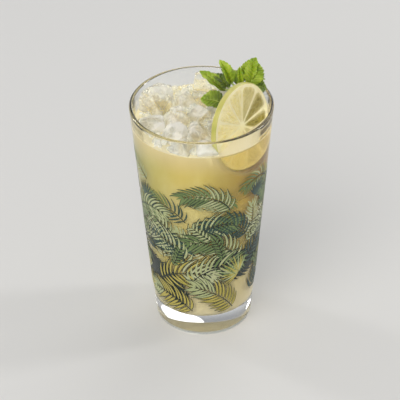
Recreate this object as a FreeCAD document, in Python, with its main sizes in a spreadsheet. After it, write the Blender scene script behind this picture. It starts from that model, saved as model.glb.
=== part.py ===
"""A tall conical glass of a pale, cloudy iced drink with a lime wheel and a sprig of mint.

The frame is in millimetres, +Z up, with the origin at the centre of the glass's foot. The glass is a
turned shell on a thick base. The drink fills it to a level under the rim. The lime wheel stands nearly
upright inside the mouth at the front right, the mint sprig stands behind it, and lumps of ice stand out
of the drink over the rest of the mouth.
"""

import FreeCAD
import Part
import math
import os

import Sketcher
from FreeCAD import Placement, Rotation, Vector

# Driving dimensions: name and value, in millimetres, with angles in degrees.
SIZES = (
    ("glass_height", 148.0),
    ("rim_radius", 42.0),
    ("foot_radius", 28.6),
    ("rim_wall", 2.1),
    ("foot_wall", 2.6),
    ("base_thickness", 14.0),
    ("rim_round", 0.95),
    ("foot_round", 2.2),
    ("inner_corner", 5.0),
    ("punt_radius", 21.0),
    ("punt_rise", 1.3),
    ("drink_below_rim", 11.0),
    ("lime_radius", 25.0),
    ("lime_thickness", 3.3),
    ("lime_edge_round", 0.7),
    ("lime_peel", 3.0),
    ("lime_segments", 10.0),
    ("lime_membrane", 0.9),
    ("lime_core", 2.4),
    ("lime_relief", 0.35),
    ("lime_hub_below_rim", 5.3),
    ("lime_wall_gap", 0.9),
    ("lime_slide", 1.5),
    ("lime_facing_angle", -37.5),
    ("lime_lean", 8.3),
    ("mint_behind", 18.0),
    ("mint_along", 18.0),
    ("mint_crown_over_rim", 3.0),
    ("mint_stem_radius", 1.3),
    ("mint_stem_length", 32.0),
    ("mint_leaf_thickness", 0.6),
    ("mint_stalk_half", 0.8),
    ("ice_round", 1.6),
    ("ice_wall_gap", 0.4),
    ("ice_headroom", 30.0),
)

# Each lump of ice: name, (length, width, height), its top's size as a share of its foot's, its place as
# (share of the mouth's radius, angle, height of its middle over the drink) and its turn as (yaw, pitch,
# roll).
ICE = (
    ("ice_left_back", (18.0, 17.0, 21.0), 0.80, (0.75, 153.0, 3.2), (142.0, 12.0, 9.0)),
    ("ice_left", (15.5, 18.5, 14.0), 0.86, (0.76, 191.0, -1.4), (188.0, -6.0, 5.0)),
    ("ice_mid_left", (13.0, 12.5, 14.0), 0.68, (0.50, 120.0, 1.6), (20.0, 7.0, -6.0)),
    ("ice_mid_back", (12.5, 12.0, 15.0), 0.62, (0.46, 93.0, 2.6), (-15.0, -5.0, 8.0)),
    ("ice_back", (14.0, 9.5, 13.0), 0.94, (0.79, 85.0, 4.6), (-4.0, 3.0, -3.0)),
    ("ice_inner_left", (15.5, 15.0, 14.5), 0.78, (0.41, 190.0, 1.2), (28.0, 14.0, -8.0)),
    ("ice_front_left", (17.0, 16.0, 14.0), 0.82, (0.62, 230.0, -0.4), (40.0, -9.0, 10.0)),
    ("ice_front", (16.5, 15.0, 15.0), 0.76, (0.45, 266.0, 0.8), (-8.0, 11.0, 6.0)),
    ("ice_middle", (15.0, 14.0, 14.0), 0.74, (0.09, 130.0, 0.8), (33.0, -10.0, 5.0)),
    ("ice_inner_right", (12.0, 12.0, 13.0), 0.80, (0.33, 320.0, 0.0), (51.0, 6.0, -9.0)),
    ("ice_under_mint", (11.0, 11.0, 12.0), 0.80, (0.31, 49.0, -0.8), (12.0, 8.0, 7.0)),
    ("ice_right_back", (14.0, 12.5, 13.0), 0.84, (0.70, 57.0, 0.0), (56.0, -7.0, -8.0)),
    ("ice_right", (10.0, 10.5, 13.0), 0.86, (0.80, 25.0, -0.6), (26.0, 5.0, 6.0)),
    ("ice_front_wall_left", (12.0, 13.0, 12.0), 0.84, (0.83, 250.0, 0.6), (62.0, 8.0, -6.0)),
    ("ice_front_wall", (13.0, 9.5, 12.0), 0.88, (0.85, 275.0, 0.2), (6.0, -5.0, 8.0)),
)

# Each mint leaf: name, foot and tip of its blade from the sprig's crown, half width, bow, the way its
# upper face looks, and how far each half folds up from flat.
LEAVES = (
    ("leaf_long_left", (-6.0, 0.5, -1.0), (-20.5, 14.5, 4.0), 4.4, 1.5, (0.15, -0.45, 0.85), 25.0),
    ("leaf_upright_left", (-2.5, 2.0, 3.0), (-9.0, 9.0, 15.0), 5.6, 1.2, (0.45, -0.8, 0.3), 40.0),
    ("leaf_upright_right", (6.5, 2.0, 6.0), (12.5, 6.0, 18.0), 5.8, 1.5, (-0.5, -0.75, 0.2), 18.0),
    ("leaf_broad_right", (8.5, -1.5, 5.0), (12.0, 7.5, 14.5), 7.0, 3.5, (0.15, -0.85, 0.45), 20.0),
    ("leaf_young_middle", (2.5, -0.5, 4.0), (2.5, 3.0, 14.0), 3.4, 1.0, (0.2, -0.9, 0.2), 45.0),
    ("leaf_low_left", (-7.0, -7.5, -4.5), (-19.5, -4.0, -5.0), 5.6, 2.5, (-0.1, -0.45, 0.85), 20.0),
    ("leaf_low_right", (8.0, 0.5, 2.5), (18.0, 3.5, -1.5), 5.0, 2.5, (0.35, -0.6, 0.7), 18.0),
    ("leaf_inner_left", (-4.0, 0.5, 1.0), (-12.0, 12.0, 3.0), 5.0, 2.0, (0.1, -0.3, 0.9), 26.0),
    ("leaf_back", (2.0, 5.0, 0.0), (6.0, 18.0, 2.0), 5.6, 3.0, (0.0, 0.1, 1.0), 22.0),
    ("leaf_back_right", (7.0, 3.0, 0.0), (17.5, 9.5, 1.0), 5.0, 3.0, (0.1, 0.1, 1.0), 24.0),
)

# Along each blade: share of its length, and the half width there as a share of the leaf's.
BLADE = ((0.0, 0.0), (0.14, 0.62), (0.34, 1.0), (0.56, 0.94), (0.78, 0.60), (1.0, 0.0))

# The stem's middle line: offset across from the crown, and height as a share of the stem's length.
STEM = ((-3.0, -3.0, -1.0), (-2.0, -1.0, -0.4), (0.0, 0.0, 0.0), (1.5, 0.5, 0.125))

# Where the inside of the glass ends: the slant of its wall, and its radius at the drink's floor.
SLANT = "((sizes.rim_radius - sizes.rim_wall - sizes.foot_radius + sizes.foot_wall) / sizes.glass_height)"
INSIDE_FOOT = "(sizes.foot_radius - sizes.foot_wall)"
DRINK_LEVEL = "(sizes.glass_height - sizes.drink_below_rim)"


def sheet_of_sizes(doc):
    """The spreadsheet that holds every driving dimension under its own alias."""
    sheet = doc.addObject("Spreadsheet::Sheet", "sizes")
    rows = list(SIZES)
    for name, edges, taper, place, turn in ICE:
        rows += [(f"{name}_length", edges[0]), (f"{name}_width", edges[1])]
        rows += [(f"{name}_height", edges[2]), (f"{name}_taper", taper)]
    for name, foot, tip, half_width, bow, face, fold in LEAVES:
        rows += [(f"{name}_half_width", half_width), (f"{name}_bow", bow), (f"{name}_fold", fold)]
    for row, (alias, value) in enumerate(rows, start=1):
        sheet.set(f"A{row}", alias)
        sheet.set(f"B{row}", str(value))
        sheet.setAlias(f"B{row}", alias)
    doc.recompute()
    return sheet


def origin_plane(body, role):
    return next(f for f in body.Origin.OriginFeatures if f.Role == role)


def closed_outline(body, name, corners):
    """A closed polygon sketch on the body's XZ plane. Each corner is a pair of expressions, for its radius
    and its height, where None puts it on the axis or on the ground line."""
    sketch = body.newObject("Sketcher::SketchObject", name)
    sketch.AttachmentSupport = [(origin_plane(body, "XZ_Plane"), "")]
    sketch.MapMode = "FlatFace"
    count = len(corners)
    turn = 2.0 * math.pi / count
    rough = [Vector(50 - 20 * math.cos(turn * i), 50 - 20 * math.sin(turn * i), 0) for i in range(count)]
    for i in range(count):
        sketch.addGeometry(Part.LineSegment(rough[i], rough[(i + 1) % count]), False)
    for i in range(count):
        sketch.addConstraint(Sketcher.Constraint("Coincident", i, 2, (i + 1) % count, 1))
    for i, (across, up) in enumerate(corners):
        pin_to(sketch, i, "DistanceX", -2, across, rough[i].x)
        pin_to(sketch, i, "DistanceY", -1, up, rough[i].y)
    return sketch


def pin_to(sketch, line, kind, axis, size, rough):
    """Holds a line's start at a distance from the origin, or on an axis where no distance is given."""
    if size is None:
        sketch.addConstraint(Sketcher.Constraint("PointOnObject", line, 1, axis))
        return
    index = sketch.addConstraint(Sketcher.Constraint(kind, -1, 1, line, 1, rough))
    sketch.setExpression(f"Constraints[{index}]", size)


def turned(body, name, sketch):
    """A full turn of the sketch about the body's upright axis."""
    feature = body.newObject("PartDesign::Revolution", name)
    feature.Profile = sketch
    feature.ReferenceAxis = (sketch, ["V_Axis"])
    feature.Angle = 360.0
    return feature


def rings_at(shape, height):
    """Names of the round edges of a turned shape that lie at a height."""
    names = []
    for number, edge in enumerate(shape.Edges, start=1):
        box = edge.BoundBox
        flat = box.ZLength < 1e-6 and abs(box.ZMin - height) < 1e-4
        if flat and isinstance(edge.Curve, Part.Circle):
            names.append(f"Edge{number}")
    return names


def rounded(body, name, base, edges, radius):
    feature = body.newObject("PartDesign::Fillet", name)
    feature.Base = (base, edges)
    feature.setExpression("Radius", radius)
    return feature


def rounded_all(doc, name, base, radius, edges=None):
    """A Part fillet over the given edge numbers of a shape, or over all of them."""
    feature = doc.addObject("Part::Fillet", name)
    feature.Base = base
    chosen = edges or range(1, len(base.Shape.Edges) + 1)
    feature.Edges = [(number, radius, radius) for number in chosen]
    return feature


def cut_away(doc, name, base, tools):
    """What is left of a shape once the tools are cut from it."""
    tool = tools[0]
    if len(tools) > 1:
        tool = doc.addObject("Part::MultiFuse", name + "_tools")
        tool.Shapes = tools
    feature = doc.addObject("Part::Cut", name)
    feature.Base = base
    feature.Tool = tool
    return feature


def inner_radius(sheet, below_rim):
    """Radius of the inside of the glass at a depth under its rim."""
    top = sheet.rim_radius - sheet.rim_wall
    bottom = sheet.foot_radius - sheet.foot_wall
    return top - (top - bottom) * below_rim / sheet.glass_height


def make_inside(doc, sheet, name, top):
    """The inside of the glass from its floor, with the rounded corner there, up to a height."""
    body = doc.addObject("PartDesign::Body", name)
    sketch = closed_outline(body, name + "_outline", (
        (None, "sizes.base_thickness"),
        (f"{INSIDE_FOOT} + {SLANT} * sizes.base_thickness", "sizes.base_thickness"),
        (f"{INSIDE_FOOT} + {SLANT} * {top}", top),
        (None, top),
    ))
    turn = turned(body, name + "_turn", sketch)
    doc.recompute()
    rounded(body, name + "_corner", turn, rings_at(turn.Shape, sheet.base_thickness), "sizes.inner_corner")
    doc.recompute()
    return body


def make_glass(doc, sheet):
    """The glass: a cone with a rounded foot, less its inside and the shallow dome under the foot."""
    body = doc.addObject("PartDesign::Body", "glass_outside")
    sketch = closed_outline(body, "glass_outline", (
        (None, None),
        ("sizes.foot_radius", None),
        ("sizes.rim_radius", "sizes.glass_height"),
        (None, "sizes.glass_height"),
    ))
    turn = turned(body, "glass_turn", sketch)
    doc.recompute()
    rounded(body, "glass_foot", turn, rings_at(turn.Shape, 0.0), "sizes.foot_round")
    punt = doc.addObject("Part::Sphere", "punt")
    dome = "(sizes.punt_radius ^ 2 + sizes.punt_rise ^ 2) / (2 * sizes.punt_rise)"
    punt.setExpression("Radius", dome)
    punt.setExpression("Placement.Base.z", "sizes.punt_rise - " + dome)
    doc.recompute()
    cavity = make_inside(doc, sheet, "cavity", "sizes.glass_height")
    shell = cut_away(doc, "glass_shell", body, [cavity, punt])
    doc.recompute()
    rim = [int(edge[4:]) for edge in rings_at(shell.Shape, sheet.glass_height)]
    glass = rounded_all(doc, "glass", shell, sheet.rim_round, rim)
    doc.recompute()
    return glass


def lime_segment(body, name, plane_height):
    """The sketch of one segment's pulp, with straight sides by the membranes and a round one by the peel."""
    sketch = body.newObject("Sketcher::SketchObject", name)
    sketch.AttachmentSupport = [(origin_plane(body, "XY_Plane"), "")]
    sketch.MapMode = "FlatFace"
    sketch.setExpression("AttachmentOffset.Base.z", plane_height)
    near, far, side = 4.0, 20.0, 4.0
    corners = [Vector(near, -1, 0), Vector(far, -side, 0), Vector(far, side, 0), Vector(near, 1, 0)]
    for start, end in ((0, 1), (2, 3), (3, 0)):
        sketch.addGeometry(Part.LineSegment(corners[start], corners[end]), False)
    sketch.addGeometry(Part.Arc(corners[1], Vector(far + 2, 0, 0), corners[2]), False)
    for first, second in (((0, 2), (3, 1)), ((3, 2), (1, 1)), ((1, 2), (2, 1)), ((2, 2), (0, 1))):
        sketch.addConstraint(Sketcher.Constraint("Coincident", *first, *second))
    sketch.addConstraint(Sketcher.Constraint("Coincident", 3, 3, -1, 1))
    sketch.addConstraint(Sketcher.Constraint("Symmetric", 0, 1, 1, 2, -1))
    sketch.addConstraint(Sketcher.Constraint("Vertical", 0, 2, 1, 1))
    half_turn = "180 deg / sizes.lime_segments"
    reach = "(sizes.lime_radius - sizes.lime_peel)"
    for kind, point, value, size in (
        ("DistanceX", (0, 1), near, "sizes.lime_core"),
        ("DistanceY", (1, 2), 1.0,
         f"sizes.lime_core * tan({half_turn}) - sizes.lime_membrane / 2 / cos({half_turn})"),
        ("DistanceX", (1, 1), far,
         f"{reach} * cos({half_turn} - asin(sizes.lime_membrane / 2 / {reach}))"),
    ):
        index = sketch.addConstraint(Sketcher.Constraint(kind, -1, 1, *point, value))
        sketch.setExpression(f"Constraints[{index}]", size)
    index = sketch.addConstraint(Sketcher.Constraint("Radius", 3, far))
    sketch.setExpression(f"Constraints[{index}]", reach)
    return sketch


def sunk_segments(doc, body, name, height, inward):
    """The ring of segments sunk by the relief's depth into one face of the wheel."""
    sketch = lime_segment(body, name + "_outline", height)
    pocket = body.newObject("PartDesign::Pocket", name + "_one")
    pocket.Profile = sketch
    pocket.setExpression("Length", "sizes.lime_relief")
    pocket.Reversed = inward
    doc.recompute()
    ring = body.newObject("PartDesign::PolarPattern", name)
    ring.Originals = [pocket]
    ring.Axis = (sketch, ["N_Axis"])
    ring.Angle = 360.0
    ring.setExpression("Occurrences", "sizes.lime_segments")
    body.Tip = ring
    doc.recompute()
    return ring


def make_lime(doc, sheet):
    """The lime wheel: a disc with a rounded edge, its segments a little sunk between membranes and peel."""
    body = doc.addObject("PartDesign::Body", "lime_wheel")
    disc = closed_outline(body, "lime_outline", (
        (None, "sizes.lime_thickness"),
        (None, None),
        ("sizes.lime_radius", None),
        ("sizes.lime_radius", "sizes.lime_thickness"),
    ))
    turn = turned(body, "lime_turn", disc)
    doc.recompute()
    edges = rings_at(turn.Shape, 0.0) + rings_at(turn.Shape, sheet.lime_thickness)
    rounded(body, "lime_edge", turn, edges, "sizes.lime_edge_round")
    doc.recompute()
    sunk_segments(doc, body, "lime_front", "sizes.lime_thickness", False)
    sunk_segments(doc, body, "lime_back", "0", True)
    body.Placement = lime_placement(sheet)
    doc.recompute()
    return body


def lime_axes(sheet):
    """The level way the wheel faces, the level way along it, and its hub on the front face."""
    angle = math.radians(sheet.lime_facing_angle)
    facing = Vector(math.cos(angle), math.sin(angle), 0)
    along = Vector(-math.sin(angle), math.cos(angle), 0)
    room = inner_radius(sheet, sheet.lime_hub_below_rim) - sheet.lime_wall_gap
    out = math.sqrt(room ** 2 - (sheet.lime_radius + abs(sheet.lime_slide)) ** 2)
    hub = facing * out + along * sheet.lime_slide
    hub.z = sheet.glass_height - sheet.lime_hub_below_rim
    return facing, along, hub


def lime_placement(sheet):
    """Stands the wheel's front face on its hub, leaning back by the lean."""
    facing, along, hub = lime_axes(sheet)
    lean = math.radians(sheet.lime_lean)
    normal = facing * math.cos(lean) + Vector(0, 0, math.sin(lean))
    turn = Rotation(along, normal.cross(along), normal, "ZXY")
    return Placement(hub - normal * sheet.lime_thickness, turn)


def leaf_stations(foot, tip, half_width, bow, face, stalk_half, root):
    """Places along a leaf from its root on the stem: the midrib point, the level side, the upward side and
    the half width at each. The blade bows towards the way it faces."""
    axis = (tip - foot).normalize()
    up = (face - axis * face.dot(axis)).normalize()
    side = axis.cross(up)
    middle = (foot + tip) * 0.5 + up * bow
    places = [(root, side, up, stalk_half)]
    for share, width in BLADE:
        point = foot * (1 - share) ** 2 + middle * 2 * share * (1 - share) + tip * share ** 2
        along = ((middle - foot) * (1 - share) + (tip - middle) * share).normalize()
        least = stalk_half * (1 - share / 2)
        places.append((point, side, side.cross(along), max(width * half_width, least)))
    return places


def leaf_section(point, side, up, half, fold, thickness):
    """A thin V across the leaf, its halves folded up from the midrib, closed by the same V just below it."""
    out = side * half * math.cos(math.radians(fold))
    rise = up * half * math.sin(math.radians(fold))
    left, right = point + out + rise, point - out + rise
    drop = up * thickness
    return Part.makePolygon([left, point, right, right - drop, point - drop, left - drop, left])


def sprig_crown(sheet):
    """The point on the stem that the leaves spread from, behind the lime wheel and over the rim."""
    facing, along, hub = lime_axes(sheet)
    crown = hub - facing * sheet.mint_behind + along * sheet.mint_along
    crown.z = sheet.glass_height + sheet.mint_crown_over_rim
    return crown


def make_stem(sheet, crown):
    """The mint's stem, swept along a smooth curve from its cut end in the drink to just over the crown."""
    places = [crown + Vector(x, y, share * sheet.mint_stem_length) for x, y, share in STEM]
    middle_line = Part.BSplineCurve()
    middle_line.interpolate(places)
    ring = Part.Circle(places[0], middle_line.tangent(0.0)[0], sheet.mint_stem_radius)
    return Part.Wire(middle_line.toShape()).makePipeShell([Part.Wire(ring.toShape())], True, True)


def leaf_root(crown, foot, length):
    """The point on the stem that a leaf's stalk grows from: lower for a low leaf, higher for a high one."""
    rise = min(max((foot.z - crown.z) / 2, -length / 16), length / 13)
    return crown + Vector(0.3 * rise, 0.1 * rise, rise)


def make_mint(doc, sheet):
    """The mint sprig: a stem that stands in the drink, and its leaves, all one solid."""
    crown = sprig_crown(sheet)
    blades = []
    for name, foot, tip, half_width, bow, face, fold in LEAVES:
        foot, tip = crown + Vector(*foot), crown + Vector(*tip)
        places = leaf_stations(
            foot, tip, sheet.get(f"{name}_half_width"), sheet.get(f"{name}_bow"), Vector(*face),
            sheet.mint_stalk_half, leaf_root(crown, foot, sheet.mint_stem_length),
        )
        bend = sheet.get(f"{name}_fold")
        wires = [leaf_section(*place, bend, sheet.mint_leaf_thickness) for place in places]
        blades.append(Part.makeLoft(wires, True, True))
    mint = doc.addObject("Part::Feature", "mint_sprig")
    mint.Shape = make_stem(sheet, crown).fuse(blades).removeSplitter()
    doc.recompute()
    return mint


def make_ice_room(doc):
    """The room that ice may take: the cone inside the glass, less a gap, carried on past the rim."""
    room = doc.addObject("Part::Cone", "ice_room")
    room.setExpression("Radius1", f"{INSIDE_FOOT} - sizes.ice_wall_gap")
    room.setExpression("Height", "sizes.glass_height + sizes.ice_headroom")
    room.setExpression("Radius2", f"Radius1 + {SLANT} * Height")
    doc.recompute()
    return room


def make_ice(doc, sheet, garnish):
    """The lumps of ice that stand out of the drink. Each is a tapered block with rounded edges, kept inside
    the glass and cut back from the garnish and from the lumps placed before it."""
    level = sheet.glass_height - sheet.drink_below_rim
    mouth = inner_radius(sheet, sheet.drink_below_rim)
    room = cut_away(doc, "ice_free_room", make_ice_room(doc), garnish)
    lumps = []
    for name, edges, taper, (share, angle, over), turn in ICE:
        block = doc.addObject("Part::Wedge", f"{name}_block")
        for axis, size in (("X", "length"), ("Z", "width")):
            half = f"sizes.{name}_{size} / 2"
            block.setExpression(f"{axis}min", f"-{half}")
            block.setExpression(f"{axis}max", half)
            block.setExpression(f"{axis}2min", f"-{half} * sizes.{name}_taper")
            block.setExpression(f"{axis}2max", f"{half} * sizes.{name}_taper")
        block.setExpression("Ymin", f"-sizes.{name}_height / 2")
        block.setExpression("Ymax", f"sizes.{name}_height / 2")
        around = math.radians(angle)
        place = Vector(mouth * share * math.cos(around), mouth * share * math.sin(around), level + over)
        stood_up = Rotation(*turn).multiply(Rotation(Vector(1, 0, 0), 90))
        block.Placement = Placement(place, stood_up)
        doc.recompute()
        rounding = rounded_all(doc, f"{name}_rounded", block, sheet.ice_round)
        doc.recompute()
        kept = doc.addObject("Part::Common", f"{name}_kept")
        kept.Base = rounding
        kept.Tool = room
        doc.recompute()
        lumps.append(cut_away(doc, name, kept, list(lumps)) if lumps else kept)
        lumps[-1].Label = name
        doc.recompute()
    return lumps


def make_drink(doc, sheet, sunk):
    """The drink: the inside of the glass up to the level, cut round all that stands in it."""
    whole = make_inside(doc, sheet, "drink_whole", DRINK_LEVEL)
    drink = cut_away(doc, "drink", whole, sunk)
    doc.recompute()
    return drink


def check_document(doc, pieces):
    """Stops on any object that failed, and on any piece that isn't one valid solid."""
    for item in doc.Objects:
        failed = [state for state in item.State if state in ("Invalid", "Error")]
        if failed:
            raise RuntimeError(f"{item.Name} is {failed}")
    for piece in pieces:
        shape = piece.Shape
        if shape.isNull() or not shape.isValid() or len(shape.Solids) != 1:
            raise RuntimeError(f"{piece.Label} is not one valid solid")


def main():
    doc = FreeCAD.newDocument("jamaican_mule")
    sheet = sheet_of_sizes(doc)
    glass = make_glass(doc, sheet)
    lime = make_lime(doc, sheet)
    mint = make_mint(doc, sheet)
    ice = make_ice(doc, sheet, [lime, mint])
    drink = make_drink(doc, sheet, [lime, mint] + ice)
    pieces = [glass, drink, lime, mint] + ice
    check_document(doc, pieces)
    os.makedirs("parts", exist_ok=True)
    for piece in pieces:
        piece.Shape.exportStep(f"parts/{piece.Label}.step")
        print(f"{piece.Label:16s} {piece.Shape.Volume / 1000.0:9.3f} ml")


main()
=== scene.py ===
"""Looks of a tall iced drink: printed glass, cloudy drink, ice, lime wheel and mint sprig."""

import math
import random

import bmesh
import bpy
from mathutils import Matrix, Vector, noise


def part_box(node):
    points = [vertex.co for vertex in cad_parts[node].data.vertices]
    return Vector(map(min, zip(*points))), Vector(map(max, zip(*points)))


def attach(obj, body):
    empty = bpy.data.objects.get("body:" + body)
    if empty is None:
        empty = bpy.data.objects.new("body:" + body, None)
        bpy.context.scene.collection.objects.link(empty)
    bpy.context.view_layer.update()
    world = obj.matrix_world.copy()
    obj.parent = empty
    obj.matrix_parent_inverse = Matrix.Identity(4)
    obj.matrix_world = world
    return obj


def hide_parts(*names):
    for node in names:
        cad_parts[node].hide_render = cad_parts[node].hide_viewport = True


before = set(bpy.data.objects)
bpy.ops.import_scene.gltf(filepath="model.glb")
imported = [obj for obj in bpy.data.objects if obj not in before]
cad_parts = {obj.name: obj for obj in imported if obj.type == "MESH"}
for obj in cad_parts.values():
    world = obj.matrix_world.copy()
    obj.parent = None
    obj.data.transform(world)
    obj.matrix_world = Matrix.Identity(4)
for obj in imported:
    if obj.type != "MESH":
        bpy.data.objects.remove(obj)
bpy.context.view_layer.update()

MM = 0.001

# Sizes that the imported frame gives.
GLASS_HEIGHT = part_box("glass")[1].z
BASE_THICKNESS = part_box("drink")[0].z
DRINK_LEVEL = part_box("drink")[1].z
ICE_NODES = sorted(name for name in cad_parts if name.startswith("ice_"))

# The glass's own sizes, in metres.
RIM_RADIUS = 42.0 * MM
FOOT_RADIUS = 28.6 * MM
RIM_WALL = 2.1 * MM
FOOT_WALL = 2.6 * MM
RIM_ROUND = 0.95 * MM
FOOT_ROUND = 2.2 * MM
INNER_CORNER = 5.0 * MM
PUNT_RADIUS = 21.0 * MM
PUNT_RISE = 1.3 * MM
GLASS_STEPS = 180
DOME_STEPS = 12

# The lime wheel's place and size, in metres, as it stands in the mouth.
LIME_RADIUS = 25.0 * MM
LIME_THICKNESS = 3.3 * MM
LIME_HUB = Vector((23.07, -15.82, 142.7)) * MM
LIME_FACING = math.radians(-37.5)
LIME_LEAN = math.radians(8.3)

# The sprig's crown, which the mint leaves spread from.
MINT_CROWN = Vector((19.75, 9.42, 151.0)) * MM


# --- Small helpers ----------------------------------------------------------------------------------


def outside_radius(height):
    """Radius of the glass's outside at a height."""
    return FOOT_RADIUS + (RIM_RADIUS - FOOT_RADIUS) * height / GLASS_HEIGHT


def inside_radius(height):
    """Radius of the glass's inside at a height."""
    foot, rim = FOOT_RADIUS - FOOT_WALL, RIM_RADIUS - RIM_WALL
    return foot + (rim - foot) * height / GLASS_HEIGHT


def add_object(name, bm):
    """An object at the origin that takes a bmesh as its mesh."""
    mesh = bpy.data.meshes.new(name)
    bm.to_mesh(mesh)
    bm.free()
    made = bpy.data.objects.new(name, mesh)
    bpy.context.scene.collection.objects.link(made)
    return made


def new_piece(name, bm, material, replaced=()):
    """A finished piece that rides on the frame's one body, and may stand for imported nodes."""
    piece = add_object(name, bm)
    piece.data.materials.append(material)
    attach(piece, "root")
    if replaced:
        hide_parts(*replaced)
    return piece


def shade_smooth(piece, sharp_angle=None):
    """Smooth shading, with the edges that turn by more than an angle kept sharp."""
    for face in piece.data.polygons:
        face.use_smooth = True
    if sharp_angle is not None:
        piece.data.set_sharp_from_angle(angle=sharp_angle)


def evaluated(piece):
    """A bmesh of an object as its modifiers leave it."""
    graph = bpy.context.evaluated_depsgraph_get()
    bm = bmesh.new()
    bm.from_mesh(piece.evaluated_get(graph).to_mesh())
    return bm


def joined(parts):
    """Several bmeshes as one."""
    whole = bmesh.new()
    for part in parts:
        mesh = bpy.data.meshes.new("part")
        part.to_mesh(mesh)
        part.free()
        whole.from_mesh(mesh)
        bpy.data.meshes.remove(mesh)
    return whole


def copied_node(name):
    """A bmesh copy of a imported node, its loose triangles merged."""
    bm = bmesh.new()
    bm.from_mesh(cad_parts[name].data)
    bmesh.ops.remove_doubles(bm, verts=bm.verts, dist=2e-6)
    return bm


def round_corner(before, corner, after, radius, steps):
    """Points of the arc that rounds a corner of an outline, from the first side to the second."""
    first, second = (before - corner).normalized(), (after - corner).normalized()
    half = math.acos(max(-1.0, min(1.0, first.dot(second)))) / 2
    reach = radius / math.tan(half)
    centre = corner + (first + second).normalized() * (radius / math.sin(half))
    start, end = corner + first * reach - centre, corner + second * reach - centre
    turn = start.angle(end)
    axis = start.cross(end).normalized()
    return [centre + Matrix.Rotation(turn * i / steps, 3, axis) @ start for i in range(steps + 1)]


def spun(outline, steps):
    """A closed shell of a turned outline, given as points in the XZ plane from axis to axis."""
    bm = bmesh.new()
    verts = [bm.verts.new(point) for point in outline]
    edges = [bm.edges.new(pair) for pair in zip(verts, verts[1:])]
    bmesh.ops.spin(
        bm, geom=verts + edges, cent=(0, 0, 0), axis=(0, 0, 1), dvec=(0, 0, 0),
        angle=math.tau, steps=steps, use_merge=True, use_duplicate=False,
    )
    bmesh.ops.remove_doubles(bm, verts=bm.verts, dist=1e-7)
    bmesh.ops.recalc_face_normals(bm, faces=bm.faces)
    return bm


def fitted(value, low, high, new_low, new_high):
    """A value's place between low and high, carried over to new ends and held there."""
    share = max(0.0, min(1.0, (value - low) / (high - low)))
    return new_low + (new_high - new_low) * share


def lime_axes():
    """The lime wheel's own axes as columns: level along it, up it, and out of its front face."""
    facing = Vector((math.cos(LIME_FACING), math.sin(LIME_FACING), 0))
    normal = facing * math.cos(LIME_LEAN) + Vector((0, 0, math.sin(LIME_LEAN)))
    along = Vector((-math.sin(LIME_FACING), math.cos(LIME_FACING), 0))
    return Matrix((along, normal.cross(along), normal)).transposed()


LIME_AXES = lime_axes()


# --- Materials --------------------------------------------------------------------------------------


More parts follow.
